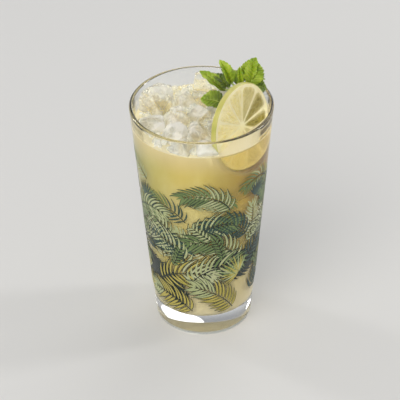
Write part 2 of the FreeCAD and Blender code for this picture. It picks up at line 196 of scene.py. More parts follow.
class Finish:
    """A material under construction, with short ways to add the nodes that it needs."""

    def __init__(self, name):
        self.material = bpy.data.materials.new(name)
        self.material.use_nodes = True
        self.tree = self.material.node_tree
        self.shader = self.tree.nodes["Principled BSDF"]
        self.output = self.tree.nodes["Material Output"]

    def node(self, kind, **settings):
        """A new node with its own settings."""
        made = self.tree.nodes.new(kind)
        for key, value in settings.items():
            setattr(made, key, value)
        return made

    def link(self, start, end):
        self.tree.links.new(start, end)

    def place(self, scale=(1, 1, 1), source="Object"):
        """Coordinates on the piece, scaled by a Mapping node."""
        coordinates = self.node("ShaderNodeTexCoord")
        mapping = self.node("ShaderNodeMapping")
        self.link(coordinates.outputs[source], mapping.inputs["Vector"])
        mapping.inputs["Scale"].default_value = scale
        return mapping.outputs["Vector"]

    def speckle(self, scale, detail=4.0, roughness=0.55, where=None, distortion=0.0):
        """A noise pattern: its factor from 0 to 1."""
        made = self.node("ShaderNodeTexNoise")
        made.inputs["Scale"].default_value = scale
        made.inputs["Detail"].default_value = detail
        made.inputs["Roughness"].default_value = roughness
        made.inputs["Distortion"].default_value = distortion
        self.link(where or self.place(), made.inputs["Vector"])
        return made.outputs["Fac"]

    def cells(self, scale, where=None, feature="F1"):
        """A pattern of cells: how far a point is from the middle of its cell, or from its edge."""
        made = self.node("ShaderNodeTexVoronoi", feature=feature)
        made.inputs["Scale"].default_value = scale
        self.link(where or self.place(), made.inputs["Vector"])
        return made.outputs["Distance"]

    def painted(self, name):
        """The value that one of the mesh's own layers holds."""
        return self.node("ShaderNodeAttribute", attribute_name=name).outputs["Fac"]

    def ramp(self, factor, *stops):
        """Colours along a factor. Each stop is (position, (r, g, b))."""
        made = self.node("ShaderNodeValToRGB")
        while len(made.color_ramp.elements) < len(stops):
            made.color_ramp.elements.new(0.5)
        for element, (position, colour) in zip(made.color_ramp.elements, stops):
            element.position = position
            element.color = (*colour, 1.0)
        self.link(factor, made.inputs["Fac"])
        return made.outputs["Color"]

    def span(self, factor, low, high, new_low, new_high):
        """A factor's range from low to high, stretched to new ends."""
        made = self.node("ShaderNodeMapRange")
        ends = {"From Min": low, "From Max": high, "To Min": new_low, "To Max": new_high}
        for key, value in ends.items():
            made.inputs[key].default_value = value
        self.link(factor, made.inputs["Value"])
        return made.outputs["Result"]

    def maths(self, operation, first, second):
        """Maths on two factors, or on a factor and a number."""
        made = self.node("ShaderNodeMath", operation=operation)
        for socket, value in zip(made.inputs, (first, second)):
            if isinstance(value, (int, float)):
                socket.default_value = value
            else:
                self.link(value, socket)
        return made.outputs["Value"]

    def blend(self, factor, first, second):
        """Two colours mixed by a factor."""
        made = self.node("ShaderNodeMix", data_type="RGBA")
        for key, kind, value in (("Factor", "VALUE", factor), ("A", "RGBA", first), ("B", "RGBA", second)):
            socket = next(item for item in made.inputs if item.name == key and item.type == kind)
            if isinstance(value, (int, float)):
                socket.default_value = value
            elif isinstance(value, tuple):
                socket.default_value = (*value, 1.0)
            else:
                self.link(value, socket)
        return next(item for item in made.outputs if item.type == "RGBA")

    def raise_by(self, height, distance, strength=1.0, base=None):
        """A bump from a height factor, on top of another bump if there is one."""
        made = self.node("ShaderNodeBump")
        made.inputs["Strength"].default_value = strength
        made.inputs["Distance"].default_value = distance
        self.link(height, made.inputs["Height"])
        if base is not None:
            self.link(base, made.inputs["Normal"])
        return made.outputs["Normal"]

    def set(self, **values):
        """Numbers, colours or links for the shader's sockets, an underscore standing for a space."""
        for key, value in values.items():
            socket = self.shader.inputs[key.replace("_", " ")]
            if isinstance(value, (int, float)):
                socket.default_value = value
            elif isinstance(value, tuple):
                socket.default_value = (*value, 1.0) if socket.type == "RGBA" else value
            else:
                self.link(value, socket)

    def let_lamps_through(self, tint):
        """Tinted shadows as light as clear things throw, so that the lamps reach what is inside."""
        path = self.node("ShaderNodeLightPath")
        clear = self.node("ShaderNodeBsdfTransparent")
        clear.inputs["Color"].default_value = (*tint, 1.0)
        mix = self.node("ShaderNodeMixShader")
        self.link(path.outputs["Is Shadow Ray"], mix.inputs["Fac"])
        self.link(self.shader.outputs["BSDF"], mix.inputs[1])
        self.link(clear.outputs["BSDF"], mix.inputs[2])
        self.link(mix.outputs["Shader"], self.output.inputs["Surface"])


def clear_glass():
    """Colourless glass with a faint ripple."""
    finish = Finish("clear_glass")
    finish.set(Base_Color=(0.985, 0.995, 0.99), Roughness=0.0, IOR=1.5, Transmission_Weight=1.0)
    ripple = finish.speckle(55.0, detail=1.0)
    finish.set(Normal=finish.raise_by(ripple, 0.12 * MM, 0.35))
    finish.let_lamps_through((0.93, 0.95, 0.94))
    return finish.material


# The drink's colours: by the foot, at the right, at the left with painted shade, towards the top, on the
# surface, where clear.
DRINK_CREAM, DRINK_AMBER, DRINK_GREEN_SHADE = (0.86, 0.76, 0.50), (0.36, 0.20, 0.001), (0.36, 0.36, 0.11)
DRINK_TOP, DRINK_SURFACE, DRINK_CLEAR = (0.76, 0.63, 0.36), (0.76, 0.66, 0.42), (0.96, 0.78, 0.33)


def clear_by_lime(finish, height):
    """How clear the drink is: most before the lime wheel, less past its edge, not at all at the surface."""
    facing = LIME_AXES.col[2]
    from_hub = finish.node("ShaderNodeVectorMath", operation="SUBTRACT")
    finish.link(finish.place(), from_hub.inputs[0])
    from_hub.inputs[1].default_value = LIME_HUB - facing * LIME_THICKNESS
    across = finish.node("ShaderNodeVectorMath", operation="CROSS_PRODUCT")
    finish.link(from_hub.outputs["Vector"], across.inputs[0])
    across.inputs[1].default_value = facing
    reach = finish.node("ShaderNodeVectorMath", operation="LENGTH")
    finish.link(across.outputs["Vector"], reach.inputs[0])
    clear = finish.span(reach.outputs["Value"], LIME_RADIUS - 0.5 * MM, LIME_RADIUS + 4 * MM, 0.93, 0.0)
    clear.node.interpolation_type = "SMOOTHSTEP"
    under = finish.span(height, DRINK_LEVEL - 0.4 * MM, DRINK_LEVEL - 1.2 * MM, 0.0, 1.0)
    return finish.maths("MULTIPLY", clear, under)


def drink_look(name, clear_beside_lime):
    """Pale yellow and cloudy: creamier by the foot and the top, amber on the right, and greener and darker
    on the left, the darkness painted shade where the light falls off at the edge.
    Beside the lime wheel it can turn clear by degrees, so that the wheel shows through it."""
    finish = Finish(name)
    cloud = finish.speckle(38.0, detail=3.0, where=finish.place((1, 1, 0.55)), distortion=0.6)
    body = finish.ramp(
        cloud, (0.30, (0.64, 0.50, 0.12)), (0.50, (0.70, 0.57, 0.17)), (0.68, (0.75, 0.64, 0.25)),
    )
    parts = finish.node("ShaderNodeSeparateXYZ")
    finish.link(finish.place(), parts.inputs["Vector"])
    right, height = parts.outputs["X"], parts.outputs["Z"]
    low = finish.span(height, 56 * MM, 18 * MM, 0.0, 0.85)
    body = finish.blend(low, body, DRINK_CREAM)
    at_right = finish.span(right, 4 * MM, 30 * MM, 0.0, 1.0)
    high = finish.span(height, 66 * MM, 104 * MM, 0.2, 1.0)
    body = finish.blend(finish.maths("MULTIPLY", at_right, high), body, DRINK_AMBER)
    # Painted shade: the left side is blended towards a darker green, where the light falls off at the
    # glass's edge.
    shaded_left = finish.span(right, -12 * MM, -38 * MM, 0.0, 0.75)
    body = finish.blend(shaded_left, body, DRINK_GREEN_SHADE)
    near_top = finish.span(height, 122 * MM, 136 * MM, 0.0, 0.75)
    body = finish.blend(near_top, body, DRINK_TOP)
    surface = finish.span(height, DRINK_LEVEL - 0.5 * MM, DRINK_LEVEL - 0.1 * MM, 0.0, 1.0)
    body = finish.blend(surface, body, DRINK_SURFACE)
    finish.set(Roughness=0.16, IOR=1.34, Specular_IOR_Level=0.12)
    if clear_beside_lime:
        clear = clear_by_lime(finish, height)
        body = finish.blend(clear, body, DRINK_CLEAR)
        finish.set(Transmission_Weight=clear)
        finish.let_lamps_through((0.95, 0.88, 0.62))
    finish.set(Base_Color=body)
    return finish.material


def wet_ice(name, cloudiness, skin=1.0):
    """Wet ice, part clear and part white with trapped air and cracks, its skin rough enough to glint."""
    clear_colour, white_colour = (0.90, 0.90, 0.85), (0.86, 0.83, 0.75)
    finish = Finish(name)
    grain = finish.speckle(130.0, detail=4.0, roughness=0.55, distortion=0.8)
    cracks = finish.cells(190.0, feature="DISTANCE_TO_EDGE")
    line = finish.span(cracks, 0.0, 0.07, 0.5 * cloudiness, 0.0)
    cloud = finish.span(finish.speckle(95.0, detail=4.0, roughness=0.6), 0.43, 0.60, 0.10, 0.95)
    cloud = finish.maths("MULTIPLY", cloud, cloudiness)
    white = finish.maths("MAXIMUM", line, cloud)
    finish.set(
        Base_Color=finish.blend(white, clear_colour, white_colour),
        Roughness=finish.span(grain, 0.35, 0.65, 0.03, 0.22),
        IOR=1.31,
        Transmission_Weight=finish.span(white, 0.0, 1.0, 1.0 - 0.25 * cloudiness, 0.15),
        Subsurface_Radius=(1.0, 1.0, 0.9), Subsurface_Scale=1.5 * MM,
    )
    fine = finish.raise_by(finish.speckle(480.0, detail=3.0), 0.16 * MM, 0.7 * skin)
    finish.set(Normal=finish.raise_by(grain, 1.1 * MM, 0.85 * skin, fine))
    finish.let_lamps_through((0.88, 0.90, 0.88))
    return finish.material


def lime_flesh():
    """Wet pulp: pale yellow vesicles that run outwards, with painted olive in the marked segments, the look
    of the thin wheel lit through from behind on one side.
    """
    finish = Finish("lime_flesh")
    vesicles = finish.cells(1.0, finish.place((52.0, 7.0, 1.0), source="UV"), "DISTANCE_TO_EDGE")
    skin = finish.span(vesicles, 0.0, 0.18, 0.0, 1.0)
    streak = finish.speckle(1.0, detail=3.0, where=finish.place((60.0, 3.0, 1.0), source="UV"))
    patch = finish.speckle(42.0, detail=2.0)
    pulp = finish.ramp(streak, (0.3, (0.76, 0.62, 0.20)), (0.6, (0.88, 0.76, 0.34)))
    pulp = finish.blend(finish.span(patch, 0.35, 0.62, 0.0, 0.65), pulp, (0.92, 0.80, 0.46))
    # Painted light: this olive stands for the thin wheel lit through from behind, and is laid on the
    # segments of one side.
    olive = finish.ramp(streak, (0.3, (0.10, 0.070, 0.001)), (0.6, (0.25, 0.19, 0.008)))
    olive_lit_through = finish.painted("olive_lit_through")
    pulp = finish.blend(finish.maths("MULTIPLY", olive_lit_through, 0.95), pulp, olive)
    # The membranes darken with the same painted light through the wheel.
    wall = finish.blend(olive_lit_through, (0.88, 0.80, 0.50), (0.50, 0.42, 0.10))
    pulp = finish.blend(finish.span(skin, 0.0, 1.0, 0.45, 0.0), pulp, wall)
    finish.set(
        Base_Color=pulp, Roughness=finish.span(streak, 0.3, 0.7, 0.16, 0.32), IOR=1.36,
        Specular_IOR_Level=0.25,
        Subsurface_Weight=0.4, Subsurface_Radius=(1.0, 0.85, 0.3), Subsurface_Scale=2.2 * MM,
    )
    finish.set(Normal=finish.raise_by(skin, 0.25 * MM, 0.7))
    return finish.material


def lime_pith():
    """The membranes, core and pale ring under the peel."""
    finish = Finish("lime_pith")
    patch = finish.speckle(160.0, detail=3.0)
    finish.set(
        Base_Color=finish.ramp(patch, (0.3, (0.78, 0.68, 0.34)), (0.7, (0.88, 0.80, 0.50))), Roughness=0.42,
        Subsurface_Weight=0.4, Subsurface_Radius=(1.0, 0.9, 0.5), Subsurface_Scale=1.0 * MM,
    )
    finish.set(Normal=finish.raise_by(patch, 0.1 * MM, 0.4))
    return finish.material


def lime_peel():
    """Yellow-green peel with oil pits."""
    finish = Finish("lime_peel")
    patch = finish.speckle(70.0, detail=2.0)
    colour = finish.ramp(
        patch, (0.3, (0.40, 0.42, 0.06)), (0.55, (0.56, 0.52, 0.12)), (0.75, (0.66, 0.60, 0.20)),
    )
    finish.set(Base_Color=colour, Roughness=0.3, Coat_Weight=0.3, Coat_Roughness=0.15)
    pit = finish.span(finish.cells(900.0), 0.0, 0.5, 0.0, 1.0)
    finish.set(Normal=finish.raise_by(pit, 0.12 * MM, 0.6))
    return finish.material


def mint_leaf():
    """Fresh leaf: yellow-green blade with paler veins, darker green as painted shade where the painted light
    is low.
    """
    finish = Finish("mint_leaf")
    patch = finish.speckle(210.0, detail=3.0)
    blade = finish.ramp(
        patch, (0.30, (0.17, 0.26, 0.010)), (0.52, (0.33, 0.45, 0.018)), (0.72, (0.48, 0.58, 0.06)),
    )
    # Painted shade: the blade's colour where a leaf lies shaded under and behind the others.
    shaded_blade = finish.ramp(patch, (0.30, (0.020, 0.045, 0.003)), (0.70, (0.07, 0.12, 0.008)))
    blade = finish.blend(finish.painted("painted_light"), shaded_blade, blade)
    pale = finish.maths("MULTIPLY", finish.painted("vein"), 0.8)
    finish.set(
        Base_Color=finish.blend(pale, blade, (0.52, 0.60, 0.14)),
        Roughness=finish.span(patch, 0.3, 0.7, 0.40, 0.55), Specular_IOR_Level=0.35,
        Subsurface_Weight=0.35, Subsurface_Radius=(0.5, 1.0, 0.2), Subsurface_Scale=0.8 * MM,
    )
    finish.set(Normal=finish.raise_by(patch, 0.4 * MM, 0.9))
    return finish.material


def mint_stem():
    """Green stalk with fibres along it."""
    finish = Finish("mint_stem")
    fibre = finish.speckle(1.0, detail=2.0, where=finish.place((2500.0, 2500.0, 90.0)))
    finish.set(
        Base_Color=finish.ramp(fibre, (0.3, (0.24, 0.33, 0.06)), (0.7, (0.42, 0.50, 0.16))), Roughness=0.42,
        Subsurface_Weight=0.2, Subsurface_Radius=(0.5, 1.0, 0.2), Subsurface_Scale=0.8 * MM,
    )
    return finish.material


def ink_finish(name, colour, pale):
    """Printed ink: a slightly uneven coat of one colour."""
    finish = Finish(name)
    patch = finish.speckle(140.0, detail=3.0)
    finish.set(Base_Color=finish.ramp(patch, (0.35, colour), (0.7, pale)), Roughness=0.38)
    finish.set(Normal=finish.raise_by(patch, 0.05 * MM, 0.3))
    return finish.material


# --- Glass ------------------------------------------------------------------------------------------


def make_glass():
    """A turned shell: domed foot, thick base, rounded rim and a rounded corner inside."""
    def at(radius, height):
        return Vector((radius, 0.0, height))

    dome_radius = (PUNT_RADIUS**2 + PUNT_RISE**2) / (2 * PUNT_RISE)
    dome = [PUNT_RADIUS * i / DOME_STEPS for i in range(DOME_STEPS + 1)]
    outline = [at(r, PUNT_RISE - dome_radius + math.sqrt(dome_radius**2 - r**2)) for r in dome]
    outer_rim, inner_rim = at(RIM_RADIUS, GLASS_HEIGHT), at(RIM_RADIUS - RIM_WALL, GLASS_HEIGHT)
    floor, floor_middle = at(inside_radius(BASE_THICKNESS), BASE_THICKNESS), at(0, BASE_THICKNESS)
    corners = (at(0, 0), at(FOOT_RADIUS, 0), outer_rim, inner_rim, floor, floor_middle)
    rounds = ((FOOT_ROUND, 8), (RIM_ROUND, 8), (RIM_ROUND, 8), (INNER_CORNER, 10))
    for before, corner, after, (radius, steps) in zip(corners, corners[1:], corners[2:], rounds):
        outline += round_corner(before, corner, after, radius, steps)
    outline.append(floor_middle)
    glass = new_piece("glass_shell", spun(outline, GLASS_STEPS), clear_glass(), ["glass"])
    shade_smooth(glass, math.radians(35))


# --- Drink ------------------------------------------------------------------------------------------

# How far the drink reaches into the glass, and how near the glass its surface counts as touching it.
WALL_GRIP = 0.15 * MM
WALL_NEAR = 0.06 * MM
# The block that bounds the clearer part of the drink: its size along the lime wheel, up it and out from it,
# and how low it reaches.
CLEAR_BLOCK = (90 * MM, 90 * MM, 60 * MM)
CLEAR_BLOCK_FLOOR = 100 * MM


def grip_wall(bm):
    """Eases the drink's outside a little into the glass, so that no air shows between them."""
    slant = 0.7
    for vert in bm.verts:
        radius = math.hypot(vert.co.x, vert.co.y)
        out = Vector((vert.co.x, vert.co.y, 0.0)) / max(radius, 1e-9)
        if vert.co.z < BASE_THICKNESS + WALL_NEAR:
            vert.co.z -= WALL_GRIP
        elif vert.co.z < BASE_THICKNESS + INNER_CORNER:
            vert.co += (out + Vector((0, 0, -1))) * WALL_GRIP * slant
        elif abs(radius - inside_radius(vert.co.z)) < WALL_NEAR:
            vert.co += out * WALL_GRIP


def clear_block():
    """The block in front of the lime wheel's middle that holds the clearer part of the drink."""
    bm = bmesh.new()
    bmesh.ops.create_cube(bm, size=1.0)
    bmesh.ops.scale(bm, verts=bm.verts, vec=CLEAR_BLOCK)
    bmesh.ops.translate(bm, verts=bm.verts, vec=(0, 0, CLEAR_BLOCK[2] / 2))
    bmesh.ops.rotate(bm, verts=bm.verts, cent=(0, 0, 0), matrix=LIME_AXES)
    bmesh.ops.translate(bm, verts=bm.verts, vec=LIME_HUB - LIME_AXES.col[2] * LIME_THICKNESS * 0.5)
    for vert in bm.verts:
        vert.co.z = max(vert.co.z, CLEAR_BLOCK_FLOOR)
    bmesh.ops.recalc_face_normals(bm, faces=bm.faces)
    return bm


def split_drink():
    """The cloudy drink and its clearer part beside the lime wheel, each as a bmesh."""
    cutter = add_object("block", clear_block())
    parts = []
    for operation in ("DIFFERENCE", "INTERSECT"):
        whole = copied_node("drink")
        grip_wall(whole)
        piece = add_object("drink_" + operation.lower(), whole)
        cut = piece.modifiers.new("cut", "BOOLEAN")
        cut.operation, cut.object, cut.solver = operation, cutter, "EXACT"
        parts.append(evaluated(piece))
        bpy.data.objects.remove(piece)
    bpy.data.objects.remove(cutter)
    return parts


def make_drink():
    """The drink in two pieces, the clearer one in front of the lime wheel."""
    cloudy, clear = split_drink()
    drink = new_piece("drink_cloudy", cloudy, drink_look("cloudy_drink", False), ["drink"])
    beside_lime = new_piece("drink_beside_lime", clear, drink_look("drink_by_lime", True))
    for piece in (drink, beside_lime):
        shade_smooth(piece, math.radians(30))


# --- Ice --------------------------------------------------------------------------------------------

ICE_VOXEL = 0.55 * MM
# How far a lump reaches into the drink that it stands in.
ICE_GRIP = 0.18 * MM
# Chips broken off a lump: their tilt from level, in degrees, and their depth in mm.
CHIP_TILT = (28, 62)
CHIP_DEPTH = (1.6, 3.2)
# Dents melted into a lump: how many to the metre and how deep, in mm, and how much deeper all of it melts.
DENTS = ((170, 0.55), (420, 0.22))
MELTED_OFF = 0.12


def chip_corners(bm, chance, count):
    """Breaks flat chips off the upper corners of a lump."""
    for _ in range(count):
        around = chance.uniform(0, math.tau)
        tilt = math.radians(chance.uniform(*CHIP_TILT))
        sideways = math.sin(tilt)
        normal = Vector((math.cos(around) * sideways, math.sin(around) * sideways, math.cos(tilt)))
        reach = max(vert.co.dot(normal) for vert in bm.verts)
        plane = normal * (reach - chance.uniform(*CHIP_DEPTH) * MM)
        whole = bm.verts[:] + bm.edges[:] + bm.faces[:]
        cut = bmesh.ops.bisect_plane(bm, geom=whole, plane_co=plane, plane_no=normal, clear_outer=True)
        edges = [item for item in cut["geom_cut"] if isinstance(item, bmesh.types.BMEdge)]
        bmesh.ops.edgeloop_fill(bm, edges=edges)


def melt(piece, seed):
    """Rounds the chips, then works the skin into shallow dents, and grips the drink a little."""
    remesh = piece.modifiers.new("melt", "REMESH")
    remesh.mode, remesh.voxel_size = "VOXEL", ICE_VOXEL
    bm = evaluated(piece)
    piece.modifiers.clear()
    bmesh.ops.smooth_vert(
        bm, verts=bm.verts, factor=0.5, use_axis_x=True, use_axis_y=True, use_axis_z=True
    )
    shift = Vector((seed * 0.37, seed * 0.11, 0.0))
    bm.normal_update()
    for vert in bm.verts:
        dent = sum(noise.noise(vert.co * number + shift) * depth for number, depth in DENTS)
        above = fitted(vert.co.z, DRINK_LEVEL - 0.5 * MM, DRINK_LEVEL + 2 * MM, 0.0, 1.0)
        vert.co += vert.normal * (ICE_GRIP + above * (dent - MELTED_OFF) * MM)
    bm.to_mesh(piece.data)
    bm.free()


def make_ice():
    """Each packed lump, chipped and melted, in cloudy, clear or crackled ice."""
    cloudy, clear = wet_ice("cloudy_ice", 1.0), wet_ice("clear_ice", 0.4, 0.45)
    crackled = wet_ice("crackled_ice", 0.6, 2.2)
    looks = {"ice_back": clear, "ice_left_back": crackled, "ice_mid_back": crackled}
    for seed, node in enumerate(ICE_NODES):
        material = looks.get(node, cloudy)
        bm = copied_node(node)
        chip_corners(bm, random.Random(node), 2 if material is clear else 5)
        lump = new_piece("lump_" + node, bm, material, [node])
        melt(lump, seed)
        shade_smooth(lump)


# Chips of ice between the lumps: their random seed, how many places are tried, the room round each, their
# sizes in mm, and the room that the lime wheel and the mint's stem keep.
RUBBLE_SEED = 8
RUBBLE_TRIES = 240
RUBBLE_ROOM = 2.2 * MM
RUBBLE_SIZES = (1.6, 3.2)
LIME_ROOM = 2 * MM
STEM_ROOM = 5 * MM


def rubble_spots(chance):
    """Random spots on the drink's open surface, clear of the wall, the lime wheel and the mint's stem."""
    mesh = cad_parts["drink"].data
    level = DRINK_LEVEL - 0.05 * MM
    tops = [face for face in mesh.polygons if face.normal.z > 0.9 and face.center.z > level]
    # Sorted by place, so that the same draws give the same spots each run.
    triangles = sorted(
        (sorted(tuple(mesh.vertices[i].co) for i in face.vertices), face.area) for face in tops
    )
    facing, spots = LIME_AXES.col[2], []
    for corners, _ in chance.choices(triangles, [area for _, area in triangles], k=RUBBLE_TRIES):
        first, second = sorted((chance.random(), chance.random()))
        a, b, c = map(Vector, corners)
        spot = a * first + b * (second - first) + c * (1 - second)
        by_lime = (spot - LIME_HUB).dot(facing) > -LIME_THICKNESS - LIME_ROOM
        by_wall = math.hypot(spot.x, spot.y) > inside_radius(spot.z) - RUBBLE_ROOM
        by_stem = (spot - MINT_CROWN).xy.length < STEM_ROOM
        by_chip = any((spot - other).length < RUBBLE_ROOM for other in spots)
        if not (by_lime or by_wall or by_stem or by_chip):
            spots.append(spot)
    return spots


def ice_chip(chance, spot):
    """One small chip: a cube with its edges worn, bent out of true, turned and set afloat."""
    size = chance.uniform(*RUBBLE_SIZES) * MM
    chip = bmesh.new()
    bmesh.ops.create_cube(chip, size=size * 1.4)
    bmesh.ops.bevel(
        chip, geom=chip.edges[:], offset=size * 0.22, offset_type="OFFSET", affect="EDGES",
        segments=2, profile=0.5, material=-1,
    )
    seed = Vector((chance.uniform(0, 9), chance.uniform(0, 9), 0))
    for vert in chip.verts:
        vert.co += noise.noise_vector(vert.co * 400 + seed) * size * 0.4
    spin = Matrix.Rotation(chance.uniform(0, math.tau), 3, "Z")
    tip = Matrix.Rotation(chance.uniform(0, 1.2), 3, "X")
    bmesh.ops.rotate(chip, verts=chip.verts, cent=(0, 0, 0), matrix=spin @ tip)
    rise = Vector((0, 0, size * chance.uniform(-0.2, 0.25)))
    bmesh.ops.translate(chip, verts=chip.verts, vec=spot + rise)
    bmesh.ops.recalc_face_normals(chip, faces=chip.faces)
    return chip


def make_rubble():
    """Small chips of ice that float in the drink between the lumps."""
    chance = random.Random(RUBBLE_SEED)
    # noise_vector takes its offsets from the clock unless its seed is set.
    noise.seed_set(RUBBLE_SEED)
    chips = [ice_chip(chance, spot) for spot in rubble_spots(chance)]
    rubble = new_piece("ice_rubble", joined(chips), wet_ice("ice_chips", 0.9))
    shade_smooth(rubble, math.radians(50))


# --- Lime wheel -------------------------------------------------------------------------------------

# How far the wheel reaches into the drink round it, the round of its edge, and the depth of its peel.
LIME_GRIP = 0.08 * MM
LIME_EDGE = 0.8 * MM
PEEL_DEPTH = 0.55 * MM
# The pulp's reach from the hub, and half a membrane's thickness.
PULP_INNER, PULP_OUTER = 2.2 * MM, LIME_RADIUS - 1.75 * MM
HALF_MEMBRANE = 0.36 * MM
# Where each segment starts, in degrees round the wheel, and how deep its pulp's olive is, the olive being
# painted light of the thin wheel lit through from behind, on one side.
SEGMENTS = (
    (3, 0.9), (41, 0.5), (79, 0.15), (114, 0.05), (149, 0.0),
    (185, 0.0), (221, 0.1), (257, 0.3), (292, 0.5), (326, 1.0),
)


def lime_disc():
    """The wheel's pith and peel: a disc whose faces are the pale ring, membranes and core."""
    radius, half = LIME_RADIUS + LIME_GRIP, LIME_THICKNESS / 2 + LIME_GRIP
    middle = -LIME_THICKNESS / 2
    front, back = Vector((0, 0, middle + half)), Vector((0, 0, middle - half))
    edge = Vector((radius, 0, middle))
    outline = [front]
    outline += round_corner(front, Vector((radius, 0, front.z)), edge, LIME_EDGE, 6)
    outline += round_corner(edge, Vector((radius, 0, back.z)), back, LIME_EDGE, 6)
    outline.append(back)
    return spun(outline, 144)


def lime_segment(face_height, sign, start, end, depth, chance):
    """One segment's pulp as a low cushion: a grid bent to a sector between two membranes."""
    bm = bmesh.new()
    bmesh.ops.create_grid(bm, x_segments=22, y_segments=14, size=0.5)
    layer = bm.loops.layers.uv.new("UVMap")
    olive_lit_through = bm.verts.layers.float.new("olive_lit_through")
    places = {}
    wobble = chance.uniform(0, 9)
    for vert in bm.verts:
        out, across = vert.co.x + 0.5, vert.co.y * 2
        rounded_end = PULP_OUTER * (1 - 0.05 * abs(across) ** 6)
        radius = PULP_INNER + (rounded_end - PULP_INNER) * out
        half_turn = (end - start) / 2 - HALF_MEMBRANE / radius
        turn = (start + end) / 2 + across * half_turn
        crown = (1 - abs(across) ** 4) * min(1.0, (1 - out) * 9) * min(1.0, out * 6 + 0.15)
        uneven = 0.16 * noise.noise(Vector((turn * 9, radius * 260, wobble)))
        swell = crown * (0.28 + uneven) * MM
        places[vert] = (turn / math.tau, radius / LIME_RADIUS)
        # Painted light through the wheel: how much olive this segment's pulp takes.
        vert[olive_lit_through] = depth * crown
        height = face_height + sign * (swell - 0.06 * MM)
        vert.co = Vector((radius * math.cos(turn), radius * math.sin(turn), height))
    for face in bm.faces:
        for loop in face.loops:
            loop[layer].uv = places[loop.vert]
    if sign < 0:
        bmesh.ops.reverse_faces(bm, faces=bm.faces)
    return bm


def laid_on_lime(bm):
    """Moves a bmesh from the wheel's flat coordinates to its place in the glass."""
    matrix = Matrix.Translation(LIME_HUB) @ LIME_AXES.to_4x4()
    bmesh.ops.transform(bm, matrix=matrix, verts=bm.verts)


def make_lime():
    """The wheel's pith with its edge in peel, and the pulp of its segments on both faces."""
    disc = lime_disc()
    laid_on_lime(disc)
    wheel = new_piece("lime_wheel_pith", disc, lime_pith(), ["lime_wheel"])
    wheel.data.materials.append(lime_peel())
    for face in wheel.data.polygons:
        spot = LIME_AXES.transposed() @ (face.center - LIME_HUB)
        if math.hypot(spot.x, spot.y) > LIME_RADIUS - PEEL_DEPTH:
            face.material_index = 1
    shade_smooth(wheel)
    chance = random.Random(5)
    segments = []
    first_again = (SEGMENTS[0][0] + 360, 0)
    for (start, depth), (end, _) in zip(SEGMENTS, SEGMENTS[1:] + (first_again,)):
        turns = math.radians(start), math.radians(end)
        for face_height, sign in ((LIME_GRIP, 1), (-LIME_THICKNESS - LIME_GRIP, -1)):
            segments.append(lime_segment(face_height, sign, *turns, depth, chance))
    pulp = joined(segments)
    laid_on_lime(pulp)
    flesh = new_piece("lime_pulp", pulp, lime_flesh())
    shade_smooth(flesh)


# --- Mint -------------------------------------------------------------------------------------------

# Each leaf: foot and tip from the crown, half width and bow, all in mm, the way its face looks, the fold
# of each half in degrees, and the painted light at its foot and its tip, low values painting the leaf in
# shade.
MINT_LEAVES = (
    ((-6.0, 0.5, -1.0), (-20.5, 14.5, 4.0), 4.6, 1.5, (0.15, -0.45, 0.85), 25.0, 0.45, 1.0),
    ((-2.5, 2.0, 3.0), (-9.0, 9.0, 15.0), 5.6, 1.2, (0.45, -0.8, 0.3), 40.0, 0.9, 1.0),
    ((6.5, 2.0, 6.0), (12.5, 6.0, 18.0), 5.8, 1.5, (-0.5, -0.75, 0.2), 18.0, 0.8, 1.0),
    ((8.5, -1.5, 5.0), (12.0, 7.5, 14.5), 7.0, 3.5, (0.15, -0.85, 0.45), 20.0, 0.9, 0.8),
    ((2.5, -0.5, 4.0), (2.5, 3.0, 14.0), 3.4, 1.0, (0.2, -0.9, 0.2), 45.0, 1.0, 1.0),
    ((-7.0, -7.5, -4.5), (-20.0, -3.2, -4.0), 6.6, 2.5, (-0.1, -0.45, 0.85), 20.0, 0.05, 0.95),
    ((8.0, 0.5, 2.5), (18.0, 3.5, -1.5), 5.0, 2.5, (0.35, -0.6, 0.7), 18.0, 0.2, 0.5),
    ((-4.0, 0.5, 1.0), (-12.0, 12.0, 3.0), 5.0, 2.0, (0.1, -0.3, 0.9), 26.0, 0.15, 0.1),
    ((2.0, 5.0, 0.0), (6.0, 18.0, 2.0), 5.6, 3.0, (0.0, 0.1, 1.0), 22.0, 0.6, 0.7),
    ((7.0, 3.0, 0.0), (17.5, 9.5, 1.0), 5.0, 3.0, (0.1, 0.1, 1.0), 24.0, 0.7, 0.7),
)
LEAF_LONG, LEAF_WIDE = 66, 22
# Teeth along a leaf and their share of its width, side veins, and in mm its quilting and its edge's curl.
LEAF_TEETH, TOOTH_DEPTH = 9, 0.17
SIDE_VEINS = 7.5
QUILT_RISE, EDGE_CURL = 0.78, 0.85
LEAF_THICKNESS = 0.35 * MM


def leaf_width(share):
    """Half width along the blade, as a share of the leaf's: round at the foot, drawn out at the tip."""
    if share <= 0.0 or share >= 1.0:
        return 0.0
    return (math.sin(math.pi * share**0.82) ** 0.75) * (1 - 0.16 * share)


